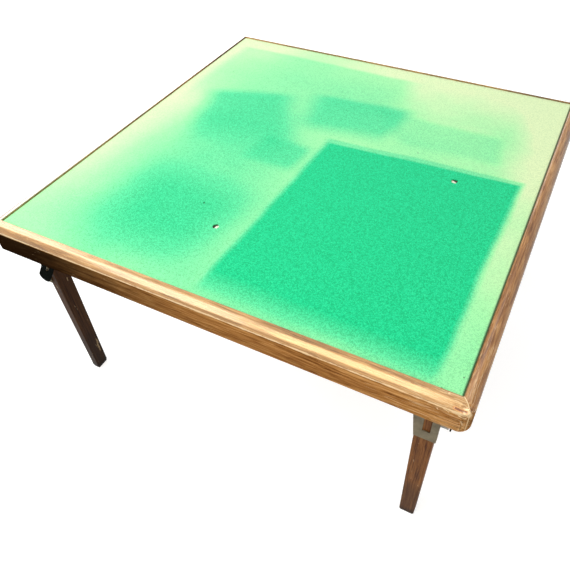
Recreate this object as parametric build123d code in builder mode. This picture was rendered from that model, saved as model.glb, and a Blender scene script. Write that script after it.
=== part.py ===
from build123d import *
import math
import os

# Low folding card table.
# Millimetres, +Z up, origin on the floor under the middle of the top.
# Four mitred wooden rails hold a baize-covered plywood panel.
# Each corner has one thin leg that folds flat along the next rail, pinwheel fashion:
# every corner is the front left one turned by quarter turns.

# Whole table
table_width = 760.0
table_height = 395.0
quarter_turn = 90.0

# Rails: upright outside face, rounded shoulder that runs into a narrow flat top, ledge for the panel
rail_height = 48.0
rail_lip = 17.0
rail_ledge = 3.0
shoulder_drop = 10.5
shoulder_run = 16.0
rail_corner_radius = 17.0
rail_edge_radius = 1.0
baize_recess = 3.0

# Top panel and its baize
baize_thickness = 1.5
panel_thickness = 6.0
panel_gap = 0.3

# Keys in the mitres
key_size = 10.0
key_thickness = 3.0
key_inset = 6.0
key_height = 22.0
key_fit = 0.05

# Battens under the panel
batten_length = 600.0
batten_width = 40.0
batten_thickness = 10.0
batten_spacing = 220.0
batten_edge = 1.5
batten_screw_from_end = 50.0

# Where a leg stands, measured from the inner faces of the rails
leg_to_back_rail = 22.0
leg_to_side_rail = 32.5

# Leg: a tapered board, its broad face towards the outside
leg_width = 31.5
leg_thickness = 18.0
foot_thickness = 15.0
foot_face_taper = 2.0
foot_side_taper = 3.0
foot_inner_taper = 3.8
leg_top_above_pivot = 6.0
leg_edge_radius = 1.5

# Foot pad
pad_height = 4.0
pad_inset = 1.2
pad_edge = 1.0

# Hinge
pivot_drop = 15.5
hinge_pin_radius = 3.0
running_gap = 0.05
side_gap = 0.3
pin_head_radius = 5.0
pin_head_height = 1.5

# Steel socket on the leg
steel = 1.5
socket_length = 120.0
flange_depth = 8.0
eye_radius = 9.0
inner_flange_length = 46.0
socket_top_above_pivot = 4.0
flare_width = 2.5
flare_length = 50.0
flare_shoulder = 18.0
flare_return = 8.0
toe_in = 2.9
window_width = 11.3
window_height = 32.0
window_above_bottom = 18.5
window_radius = 1.0
leg_screw_spacing = 27.0
leg_screw_from_pivot = 24.0

# Hinge bracket in the frame
bracket_steel = 2.0
bracket_reach = 22.0
cheek_radius = 11.0
stop_below_pivot = 6.0
stop_height = 13.0

# Corner block behind the bracket
block_length = 63.0
block_height = 34.5
block_edge = 1.5

# Stay: a slotted bar on the rail, stiff on its screw, that drops beside the leg
stay_thickness = 2.0
stay_width = 21.6
stay_length = 96.0
stay_angle = 56.5
stay_pivot_height = 14.5
stay_end_from_leg = 8.0
stay_gap = 0.2
stay_slot_width = 5.5
stay_slot_start = 18.0
stay_slot_length = 24.0
stay_screw_head_radius = 5.5
stay_screw_head_height = 2.0
stay_screw_collar_radius = 6.0
stay_layer_from_rail = 1.3

# Stud on the leg and peg on the stay that meet when the leg is open
stud_radius = 3.0
stud_shank_radius = 2.0
stud_shank_length = 8.0
stud_ear_radius = 6.5
stud_short_of_stay = 1.5
peg_short_of_leg = 1.2
peg_gap = 0.3

# Screws
screw_radius = 1.6
screw_head_radius = 3.2
screw_fit = 0.05
block_screw_length = 10.5
panel_screw_length = 6.0
batten_screw_length = 13.0
leg_screw_length = 12.0
leg_screw_head_height = 1.3
leg_screw_dome_rise = 0.3
block_screw_spacing = 22.0
panel_screw_spacing = 20.0
panel_screw_reach = 16.0
stay_screw_length = 12.0
cut_overrun = 1.0

# Places worked out from the sizes above
half_width = table_width / 2
rail_bottom = table_height - rail_height
shoulder_bottom = table_height - shoulder_drop
shoulder_radius = (shoulder_run**2 + shoulder_drop**2) / (2 * shoulder_drop)
rail_thickness = rail_lip + rail_ledge
rail_inner = half_width - rail_thickness
opening_half = half_width - rail_lip
baize_top = table_height - baize_recess
panel_top = baize_top - baize_thickness
panel_bottom = panel_top - panel_thickness
panel_half = opening_half - panel_gap
batten_screw_pitch = batten_length / 2 - batten_screw_from_end
key_middle = half_width - key_inset - key_size / 2
pivot_height = panel_bottom - pivot_drop
leg_top = pivot_height + leg_top_above_pivot
leg_half = leg_width / 2
leg_back = leg_thickness / 2
leg_u = rail_inner - leg_to_back_rail
leg_v = rail_inner - leg_to_side_rail
socket_side = leg_half + steel
socket_back = leg_back + steel
socket_bottom = pivot_height - socket_length
socket_top = pivot_height + socket_top_above_pivot
cheek_inside = socket_side + side_gap
cheek_outside = cheek_inside + bracket_steel
stop_face = socket_back + side_gap
bracket_back = stop_face + bracket_steel
block_bottom = panel_bottom - block_height
stop_top = pivot_height - stop_below_pivot
stay_outer = leg_to_side_rail - stay_layer_from_rail
stay_inner = stay_outer - stay_thickness
stay_cosine_share = math.cos(math.radians(stay_angle))
stay_sine_share = math.sin(math.radians(stay_angle))
stud_height = rail_bottom + stay_pivot_height - stay_length * stay_sine_share
stay_slot_middle = stay_slot_start + stay_slot_length / 2
peg_reach = 2 * stud_radius + peg_gap

corner_turns = {"front_left": 0, "front_right": 1, "back_right": 2, "back_left": 3}
rail_turns = {"front": 0, "right": 1, "back": 2, "left": 3}

os.makedirs("parts", exist_ok=True)


def save(builder, name):
    builder.part.label = name
    export_step(builder.part, f"parts/{name}.step")


# Directions at a corner: "along" is the way its leg folds, "inward" is away from its side rail
quarter_directions = (Vector(1, 0, 0), Vector(0, 1, 0), Vector(-1, 0, 0), Vector(0, -1, 0))


def along(turn):
    return quarter_directions[turn % len(quarter_directions)]


def inward(turn):
    return along(turn + 1)


def leg_point(turn, u, v, z):
    return along(turn) * (u - leg_u) + inward(turn) * (v - leg_v) + Vector(0, 0, z)


# Upright plane seen from the side rail: sketches in it are (along, height)
def side_plane(turn, v):
    return Plane(origin=leg_point(turn, 0, v, 0), x_dir=along(turn), z_dir=-inward(turn))


# Upright plane across the fold: sketches in it are (inward, height)
def cross_plane(turn, u):
    return Plane(origin=leg_point(turn, u, 0, 0), x_dir=inward(turn), z_dir=along(turn))


# Level plane: sketches in it are (along, inward) from the leg's axis
def level_plane(turn, z):
    return Plane(origin=leg_point(turn, 0, 0, z), x_dir=along(turn), z_dir=(0, 0, 1))


# A point on the middle line of a hanging stay, as far as this from its lower end
def stay_point(distance):
    return (stay_end_from_leg + distance * stay_cosine_share, stud_height + distance * stay_sine_share)


# Level plane at the middle of the table, turned with the corner
def table_plane(turn, z):
    return Plane(origin=(0, 0, z), x_dir=along(turn), z_dir=(0, 0, 1))


# Countersunk screws: each place is the middle of a head's face and the way the screw points.
# With a fit they are the holes for the same screws.
def countersunk_screws(places, length, fit=0):
    with BuildPart() as screws:
        for head, direction in places:
            across = square_to(direction)
            with BuildSketch(Plane(origin=head, x_dir=across, z_dir=across.cross(direction))):
                with BuildLine():
                    Polyline(
                        (0, 0),
                        (screw_head_radius + fit, 0),
                        (screw_radius + fit, screw_head_radius - screw_radius),
                        (screw_radius + fit, length + fit),
                        (0, length + fit),
                        close=True,
                    )
                make_face()
            revolve(axis=Axis(head, direction))
    return screws.part


def square_to(direction):
    points_up = direction.get_angle(Vector(0, 0, 1)) < quarter_turn / 2
    return Vector(1, 0, 0) if points_up else Vector(0, 0, 1)


# Where the screws stand
def block_screw_places(turn):
    height = stop_top - stop_height / 2
    return [
        (leg_point(turn, -stop_face, side * block_screw_spacing / 2, height), -along(turn))
        for side in (-1, 1)
    ]


def panel_screw_places(turn):
    return [
        (
            leg_point(turn, panel_screw_reach, side * panel_screw_spacing / 2, panel_bottom - bracket_steel),
            Vector(0, 0, 1),
        )
        for side in (-1, 1)
    ]


def batten_screw_places(side):
    return [
        (
            Vector(step * batten_screw_pitch, side * batten_spacing / 2, panel_bottom - batten_thickness),
            Vector(0, 0, 1),
        )
        for step in (-1, 0, 1)
    ]


# The four rails
for rail_name, turn in rail_turns.items():
    outer_corner = along(turn) * -half_width + inward(turn) * -half_width
    with BuildPart() as rail:
        with BuildSketch(Plane(origin=outer_corner, x_dir=inward(turn), z_dir=along(turn))):
            with BuildLine():
                shoulder = RadiusArc((0, shoulder_bottom), (shoulder_run, table_height), shoulder_radius)
                Polyline(
                    shoulder @ 1,
                    (rail_lip, table_height),
                    (rail_lip, panel_bottom),
                    (rail_thickness, panel_bottom),
                    (rail_thickness, rail_bottom),
                    (0, rail_bottom),
                    shoulder @ 0,
                )
            section = make_face()
            fillet(section.vertices().group_by(Axis.Y)[0], radius=rail_edge_radius)
        extrude(amount=table_width)
        # Mitred ends
        with BuildSketch(table_plane(turn, -cut_overrun)):
            with BuildLine():
                Polyline(
                    (0, 0),
                    (-half_width - cut_overrun, -half_width - cut_overrun),
                    (half_width + cut_overrun, -half_width - cut_overrun),
                    close=True,
                )
            make_face()
        extrude(amount=table_height + 2 * cut_overrun, mode=Mode.INTERSECT)
        # Both corners of the frame are rounded, and the shoulder runs round them
        for corner_turn in (turn, turn + 1):
            middle = (along(corner_turn) + inward(corner_turn)) * (rail_corner_radius - half_width)
            with BuildSketch(Plane(origin=middle, x_dir=-along(corner_turn), z_dir=inward(corner_turn))):
                with BuildLine():
                    rounding = RadiusArc(
                        (rail_corner_radius, shoulder_bottom),
                        (rail_corner_radius - shoulder_run, table_height),
                        -shoulder_radius,
                    )
                    Polyline(
                        rounding @ 1,
                        (rail_corner_radius - shoulder_run, table_height + cut_overrun),
                        (2 * rail_corner_radius, table_height + cut_overrun),
                        (2 * rail_corner_radius, rail_bottom - cut_overrun),
                        (rail_corner_radius, rail_bottom - cut_overrun),
                        rounding @ 0,
                    )
                make_face()
            revolve(axis=Axis(middle, (0, 0, 1)), revolution_arc=quarter_turn, mode=Mode.SUBTRACT)
        # Key slots in both mitres
        with BuildSketch(table_plane(turn, rail_bottom + key_height - key_fit)):
            with Locations((-key_middle, -key_middle), (key_middle, -key_middle)):
                Rectangle(key_size + 2 * key_fit, key_size + 2 * key_fit)
        extrude(amount=key_thickness + 2 * key_fit, mode=Mode.SUBTRACT)
        # Hole for the stay's screw
        with BuildSketch(side_plane(turn, -leg_to_side_rail)):
            with Locations(stay_point(stay_length)):
                Circle(stud_shank_radius + screw_fit)
        extrude(amount=stay_screw_length + screw_fit, mode=Mode.SUBTRACT)
    save(rail, f"{rail_name}_rail")

# Mitre keys
for corner, turn in corner_turns.items():
    with BuildPart() as key:
        with BuildSketch(table_plane(turn, rail_bottom + key_height)):
            with Locations((-key_middle, -key_middle)):
                Rectangle(key_size, key_size)
        extrude(amount=key_thickness)
    save(key, f"mitre_key_{corner}")

# Plywood panel on the rails' ledges
with BuildPart() as panel:
    with BuildSketch(Plane.XY.offset(panel_bottom)):
        Rectangle(2 * panel_half, 2 * panel_half)
    extrude(amount=panel_thickness)
    for turn in corner_turns.values():
        add(countersunk_screws(panel_screw_places(turn), panel_screw_length, screw_fit), mode=Mode.SUBTRACT)
    for side in (-1, 1):
        add(countersunk_screws(batten_screw_places(side), batten_screw_length, screw_fit), mode=Mode.SUBTRACT)
save(panel, "top_panel")

# Baize stretched over the panel
with BuildPart() as baize:
    with BuildSketch(Plane.XY.offset(panel_top)):
        Rectangle(2 * panel_half, 2 * panel_half)
    extrude(amount=baize_thickness)
save(baize, "baize")

# Battens that stiffen the panel
for batten_name, side in {"front": -1, "back": 1}.items():
    with BuildPart() as batten:
        with BuildSketch(Plane.XY.offset(panel_bottom - batten_thickness)):
            with Locations((0, side * batten_spacing / 2)):
                Rectangle(batten_length, batten_width)
        extrude(amount=batten_thickness)
        chamfer(batten.faces().sort_by(Axis.Z)[0].edges(), length=batten_edge)
        add(countersunk_screws(batten_screw_places(side), batten_screw_length, screw_fit), mode=Mode.SUBTRACT)
    save(batten, f"{batten_name}_batten")

# Corner blocks that the hinge brackets are screwed to
for corner, turn in corner_turns.items():
    with BuildPart() as block:
        with BuildSketch(level_plane(turn, block_bottom)):
            with Locations((-leg_to_back_rail, -leg_to_side_rail)):
                Rectangle(leg_to_back_rail - bracket_back, block_length, align=(Align.MIN, Align.MIN))
        extrude(amount=block_height)
        chamfer(block.faces().sort_by(Axis.Z)[0].edges(), length=block_edge)
        add(countersunk_screws(block_screw_places(turn), block_screw_length, screw_fit), mode=Mode.SUBTRACT)
    save(block, f"corner_block_{corner}")

# Hinge brackets: a base under the panel, two cheeks and a back that stops the open leg
for corner, turn in corner_turns.items():
    with BuildPart() as bracket:
        with BuildSketch(level_plane(turn, panel_bottom - bracket_steel)):
            with Locations((-bracket_back, 0)):
                Rectangle(bracket_back + bracket_reach, 2 * cheek_outside, align=(Align.MIN, Align.CENTER))
        extrude(amount=bracket_steel)
        for cheek_face in (-cheek_inside, cheek_outside):
            with BuildSketch(side_plane(turn, cheek_face)):
                with Locations((0, pivot_height)):
                    Circle(cheek_radius)
                with Locations((-bracket_back, panel_bottom)):
                    Rectangle(bracket_back + cheek_radius, pivot_drop, align=(Align.MIN, Align.MAX))
                with Locations((-bracket_back, panel_bottom)):
                    Rectangle(
                        bracket_back,
                        pivot_drop + stop_below_pivot + stop_height,
                        align=(Align.MIN, Align.MAX),
                    )
                with Locations((0, pivot_height)):
                    Circle(hinge_pin_radius + running_gap, mode=Mode.SUBTRACT)
            extrude(amount=bracket_steel)
        with BuildSketch(cross_plane(turn, -bracket_back)):
            with Locations((0, stop_top)):
                Rectangle(2 * cheek_outside, stop_height, align=(Align.CENTER, Align.MAX))
        extrude(amount=bracket_steel)
        add(countersunk_screws(block_screw_places(turn), block_screw_length, screw_fit), mode=Mode.SUBTRACT)
        add(countersunk_screws(panel_screw_places(turn), panel_screw_length, screw_fit), mode=Mode.SUBTRACT)
    save(bracket, f"hinge_bracket_{corner}")

# Hinge pins with a head at each end
for corner, turn in corner_turns.items():
    with BuildPart() as pin:
        with BuildSketch(side_plane(turn, cheek_outside)):
            with Locations((0, pivot_height)):
                Circle(hinge_pin_radius)
        extrude(amount=2 * cheek_outside)
        for head_face in (cheek_outside + pin_head_height, -cheek_outside):
            with BuildSketch(side_plane(turn, head_face)):
                with Locations((0, pivot_height)):
                    Circle(pin_head_radius)
            extrude(amount=pin_head_height)
    save(pin, f"hinge_pin_{corner}")

# Screws in the frame
with BuildPart() as bracket_screws:
    for turn in corner_turns.values():
        add(countersunk_screws(block_screw_places(turn), block_screw_length))
        add(countersunk_screws(panel_screw_places(turn), panel_screw_length))
save(bracket_screws, "bracket_screws")

with BuildPart() as batten_screws:
    for side in (-1, 1):
        add(countersunk_screws(batten_screw_places(side), batten_screw_length))
save(batten_screws, "batten_screws")

# Legs
for corner, turn in corner_turns.items():
    with BuildPart() as leg:
        with BuildSketch(level_plane(turn, pad_height)):
            with Locations((foot_face_taper - leg_back, foot_side_taper - leg_half)):
                Rectangle(
                    foot_thickness,
                    leg_width - foot_side_taper - foot_inner_taper,
                    align=(Align.MIN, Align.MIN),
                )
        with BuildSketch(level_plane(turn, leg_top)):
            Rectangle(leg_thickness, leg_width)
        loft()
        fillet(leg.edges().group_by(Axis.Z)[0] + leg.edges().group_by(Axis.Z)[1], radius=leg_edge_radius)
        with BuildSketch(side_plane(turn, leg_half + cut_overrun)):
            with Locations((0, pivot_height)):
                Circle(hinge_pin_radius + running_gap)
        extrude(amount=leg_width + 2 * cut_overrun, mode=Mode.SUBTRACT)
        with BuildSketch(side_plane(turn, stud_shank_length - socket_side)):
            with Locations((0, stud_height)):
                Circle(stud_shank_radius + screw_fit)
        extrude(amount=stud_shank_length, mode=Mode.SUBTRACT)
        with BuildSketch(cross_plane(turn, -leg_back)):
            with Locations(*[(0, height) for height in (
                pivot_height - leg_screw_from_pivot,
                pivot_height - leg_screw_from_pivot - leg_screw_spacing,
            )]):
                Circle(screw_radius + screw_fit)
        extrude(amount=leg_screw_length - steel + screw_fit, mode=Mode.SUBTRACT)
    save(leg, f"leg_{corner}")

# Steel sockets: a web with a window on the leg's outer face and two narrow flanges
for corner, turn in corner_turns.items():
    with BuildPart() as socket:
        with BuildSketch(cross_plane(turn, -socket_back)):
            with BuildLine():
                Polyline(
                    (-socket_side, socket_bottom),
                    (socket_side - toe_in, socket_bottom),
                    (socket_side + flare_width, socket_bottom + flare_length),
                    (socket_side + flare_width, socket_bottom + flare_length + flare_shoulder),
                    (socket_side, socket_bottom + flare_length + flare_shoulder + flare_return),
                    (socket_side, socket_top),
                    (-socket_side, socket_top),
                    close=True,
                )
            make_face()
            with Locations((-toe_in / 2, socket_bottom + window_above_bottom + window_height / 2)):
                RectangleRounded(window_width, window_height, window_radius, mode=Mode.SUBTRACT)
            with Locations(*[(0, height) for height in (
                pivot_height - leg_screw_from_pivot,
                pivot_height - leg_screw_from_pivot - leg_screw_spacing,
            )]):
                Circle(screw_radius + screw_fit, mode=Mode.SUBTRACT)
        extrude(amount=steel)
        # Flange beside the side rail, with the ear for the stud and the eye for the pin
        with BuildSketch(side_plane(turn, -leg_half)):
            with Locations((-socket_back, socket_bottom)):
                Rectangle(flange_depth, pivot_height - socket_bottom, align=(Align.MIN, Align.MIN))
            with Locations((0, stud_height)):
                Circle(stud_ear_radius)
            with Locations((0, pivot_height)):
                Circle(eye_radius)
                Circle(hinge_pin_radius + running_gap, mode=Mode.SUBTRACT)
            with Locations((0, stud_height)):
                Circle(stud_shank_radius + screw_fit, mode=Mode.SUBTRACT)
        extrude(amount=steel)
        # Short flange on the other side
        with BuildSketch(side_plane(turn, socket_side)):
            with Locations((-socket_back, pivot_height)):
                Rectangle(flange_depth, inner_flange_length, align=(Align.MIN, Align.MAX))
            with Locations((0, pivot_height)):
                Circle(eye_radius)
                Circle(hinge_pin_radius + running_gap, mode=Mode.SUBTRACT)
        extrude(amount=steel)
    save(socket, f"leg_socket_{corner}")

# Round-headed screws that hold each socket to its leg
for corner, turn in corner_turns.items():
    with BuildPart() as leg_screws:
        for step in (0, 1):
            height = pivot_height - leg_screw_from_pivot - step * leg_screw_spacing
            head = leg_point(turn, -socket_back, 0, height)
            with BuildSketch(Plane(origin=head, x_dir=(0, 0, 1), z_dir=inward(turn))):
                with BuildLine():
                    dome = SagittaArc((0, -leg_screw_head_height), (screw_head_radius, 0), -leg_screw_dome_rise)
                    Polyline(
                        dome @ 1,
                        (screw_radius, 0),
                        (screw_radius, leg_screw_length - screw_radius),
                        (0, leg_screw_length),
                        dome @ 0,
                    )
                make_face()
            revolve(axis=Axis(head, along(turn)))
    save(leg_screws, f"leg_screws_{corner}")

# Studs on the legs
for corner, turn in corner_turns.items():
    with BuildPart() as stud:
        with BuildSketch(side_plane(turn, -socket_side)):
            with Locations((0, stud_height)):
                Circle(stud_radius)
        extrude(amount=stay_inner - stud_short_of_stay - socket_side)
        with BuildSketch(side_plane(turn, stud_shank_length - socket_side)):
            with Locations((0, stud_height)):
                Circle(stud_shank_radius)
        extrude(amount=stud_shank_length)
    save(stud, f"stay_stud_{corner}")

# Foot pads
for corner, turn in corner_turns.items():
    with BuildPart() as pad:
        with BuildSketch(level_plane(turn, 0)):
            with Locations((foot_face_taper + pad_inset - leg_back, foot_side_taper + pad_inset - leg_half)):
                Rectangle(
                    foot_thickness - 2 * pad_inset,
                    leg_width - foot_side_taper - foot_inner_taper - 2 * pad_inset,
                    align=(Align.MIN, Align.MIN),
                )
        extrude(amount=pad_height)
        fillet(pad.edges().filter_by(Axis.Z), radius=pad_edge)
        fillet(pad.faces().sort_by(Axis.Z)[0].edges(), radius=pad_edge / 2)
    save(pad, f"foot_pad_{corner}")

# Slotted stays, each with the peg that meets the leg's stud
for corner, turn in corner_turns.items():
    with BuildPart() as stay:
        with BuildSketch(side_plane(turn, -stay_inner)):
            with Locations(stay_point(stay_length / 2)):
                SlotCenterToCenter(stay_length, stay_width, rotation=stay_angle)
            with Locations(stay_point(stay_slot_middle)):
                SlotOverall(stay_slot_length, stay_slot_width, rotation=stay_angle, mode=Mode.SUBTRACT)
            with Locations(stay_point(stay_length)):
                Circle(stud_radius + running_gap, mode=Mode.SUBTRACT)
        extrude(amount=stay_thickness)
        with BuildSketch(side_plane(turn, -stay_inner)):
            with Locations((peg_reach, stud_height)):
                Circle(stud_radius)
        extrude(amount=-(stay_inner - socket_side - peg_short_of_leg))
    save(stay, f"stay_{corner}")

# Shouldered screws that the stays turn on
with BuildPart() as stay_screws:
    for turn in corner_turns.values():
        for inner_end, outer_end, radius in (
            (stay_inner - stay_gap - stay_screw_head_height, stay_inner - stay_gap, stay_screw_head_radius),
            (stay_inner - stay_gap, stay_outer + stay_gap, stud_radius),
            (stay_outer + stay_gap, leg_to_side_rail, stay_screw_collar_radius),
            (leg_to_side_rail, leg_to_side_rail + stay_screw_length, stud_shank_radius),
        ):
            with BuildSketch(side_plane(turn, -inner_end)):
                with Locations(stay_point(stay_length)):
                    Circle(radius)
            extrude(amount=outer_end - inner_end)
save(stay_screws, "stay_screws")
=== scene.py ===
import math

import bmesh
import bpy
from mathutils import Matrix, Vector, noise


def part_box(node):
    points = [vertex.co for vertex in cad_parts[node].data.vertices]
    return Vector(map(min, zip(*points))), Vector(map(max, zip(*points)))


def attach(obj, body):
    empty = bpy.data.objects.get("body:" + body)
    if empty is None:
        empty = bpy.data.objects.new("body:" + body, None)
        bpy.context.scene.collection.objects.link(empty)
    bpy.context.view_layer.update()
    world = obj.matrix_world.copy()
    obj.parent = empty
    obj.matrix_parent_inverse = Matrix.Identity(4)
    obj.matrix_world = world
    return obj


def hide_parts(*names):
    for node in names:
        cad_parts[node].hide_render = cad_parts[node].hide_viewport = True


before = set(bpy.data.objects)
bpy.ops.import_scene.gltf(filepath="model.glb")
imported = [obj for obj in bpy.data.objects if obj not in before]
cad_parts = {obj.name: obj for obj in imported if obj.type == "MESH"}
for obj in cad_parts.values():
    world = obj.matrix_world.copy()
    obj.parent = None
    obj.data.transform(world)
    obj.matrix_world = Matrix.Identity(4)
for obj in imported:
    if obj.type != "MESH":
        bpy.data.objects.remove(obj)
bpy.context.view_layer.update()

bl_info = {
    "name": "Folding card table looks",
    "version": (1, 0, 0),
    "blender": (4, 5, 0),
    "location": "View3D > Sidebar > Card table",
    "description": "Dresses the packed card table: faded baize, worn wood, painted steel and the studio",
    "category": "Object",
}

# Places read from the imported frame, in metres
BAIZE_LOW, BAIZE_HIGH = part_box("baize")
HALF_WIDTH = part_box("right_rail")[1].x
TABLE_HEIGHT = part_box("right_rail")[1].z
PANEL_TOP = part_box("top_panel")[1].z
CORNERS = ("front_left", "front_right", "back_right", "back_left")
MILLIMETRE = 0.001
ACROSS = Vector((1, 0, 0))
UP = Vector((0, 0, 1))


def linear(red, green, blue):
    """A colour as it looks on a screen, 0 to 255, as a shader takes it. The numbers are the sRGB curve."""
    parts = (red / 255, green / 255, blue / 255)
    return tuple(p / 12.92 if p <= 0.04045 else ((p + 0.055) / 1.055) ** 2.4 for p in parts)


def colour_setting(name, description, shown):
    return bpy.props.FloatVectorProperty(
        name=name, description=description, subtype="COLOR", default=linear(*shown), min=0.0, max=1.0
    )


def length_setting(name, description, default):
    return bpy.props.FloatProperty(name=name, description=description, default=default, unit="LENGTH")


class CardTableColours(bpy.types.PropertyGroup):
    """Colours of the table's finishes and of the studio floor."""

    baize_deep: colour_setting("Unfaded baize", "Baize that something covered from the sun", (26, 217, 150))
    baize_mid: colour_setting("Half faded baize", "Baize covered for part of the time", (100, 232, 166))
    baize_pale: colour_setting("Faded baize", "Baize bleached by the sun", (170, 247, 176))
    baize_straw: colour_setting("Bleached baize", "Straw-coloured baize at the sunny edges", (232, 247, 194))
    baize_fleck: colour_setting("Baize shade", "Shade between the tufts of the baize", (52, 158, 106))
    # Painted shade along the right and front edges of the baize, and also the colour of the dark specks
    baize_shade_and_grime: colour_setting("Baize grime", "Grime where the baize meets the rails", (44, 62, 34))
    wood_dark: colour_setting("Dark grain", "Darkest grain of the stained wood", (108, 64, 30))
    wood_mid: colour_setting("Stained wood", "Main tone of the stained wood", (172, 118, 64))
    wood_light: colour_setting("Light grain", "Lightest grain of the stained wood", (208, 156, 96))
    wood_worn: colour_setting("Worn wood", "Bare wood where the stain has rubbed off", (236, 206, 160))
    wood_bruised: colour_setting("Bruised wood", "Thin stain round the gouge", (224, 142, 70))
    wood_fresh: colour_setting("Gouged wood", "Reddish wood in the gouge near a corner", (120, 44, 20))
    # Painted shade: this dark tone darkens the rails towards the front left corner and the front left leg; it
    # also darkens every leg towards its foot
    wood_darkened: colour_setting("Grimy wood", "Stain darkened by grime", (24, 12, 6))
    leg_dark: colour_setting("Dark leg grain", "Darkest grain of the legs", (72, 38, 18))
    leg_mid: colour_setting("Leg wood", "Main tone of the legs", (126, 80, 42))
    leg_light: colour_setting("Light leg grain", "Lightest grain of the legs", (156, 104, 58))
    # Darkest tone at the very foot of a leg
    leg_tip: colour_setting("Leg tip", "Dirt at the very foot of a leg", (30, 20, 13))
    plain_wood: colour_setting("Unstained wood", "Battens, blocks and keys", (186, 150, 108))
    plywood: colour_setting("Plywood", "Underside of the panel", (196, 164, 118))
    underlay: colour_setting("Underlay", "Pale underlay that shows in the moth holes", (250, 243, 222))
    # Painted shadow: the dark side of the underlay in each moth hole
    hole_shadow: colour_setting("Old glue", "Dark glue that shows in the moth holes", (48, 44, 20))
    socket_paint: colour_setting("Socket paint", "Grey-olive paint on the leg sockets", (122, 112, 90))
    # Painted shade: the stays and brackets are painted near black, darker than the grey-olive sockets, for
    # the shade they sit in
    shaded_stay_paint: colour_setting("Stay steel", "Dark steel of the stays and brackets", (22, 25, 23))
    chipped_paint: colour_setting("Chipped paint", "Specks where paint has come off", (150, 146, 136))
    bright_steel: colour_setting("Bright steel", "Screws, pins and studs", (150, 148, 142))
    rust: colour_setting("Rust", "Rust on the bright steel", (96, 66, 46))
    pad_rubber: colour_setting("Foot rubber", "Black rubber of the foot pads", (26, 24, 23))
    floor_dark: colour_setting("Floor shade", "Darker clouds in the floor", (182, 181, 179))
    floor_light: colour_setting("Floor", "Lighter clouds in the floor", (188, 187, 185))


class CardTableSizes(bpy.types.PropertyGroup):
    """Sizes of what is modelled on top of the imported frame."""

    baize_tuck: length_setting("Baize tuck", "How far the baize stays short of the rails", 0.8 * MILLIMETRE)
    baize_nap: length_setting("Baize nap", "How far the fibres stand above the woven cloth", 0.6 * MILLIMETRE)
    hole_radius: length_setting("Moth hole", "Mean radius of a moth hole", 5.2 * MILLIMETRE)


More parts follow.
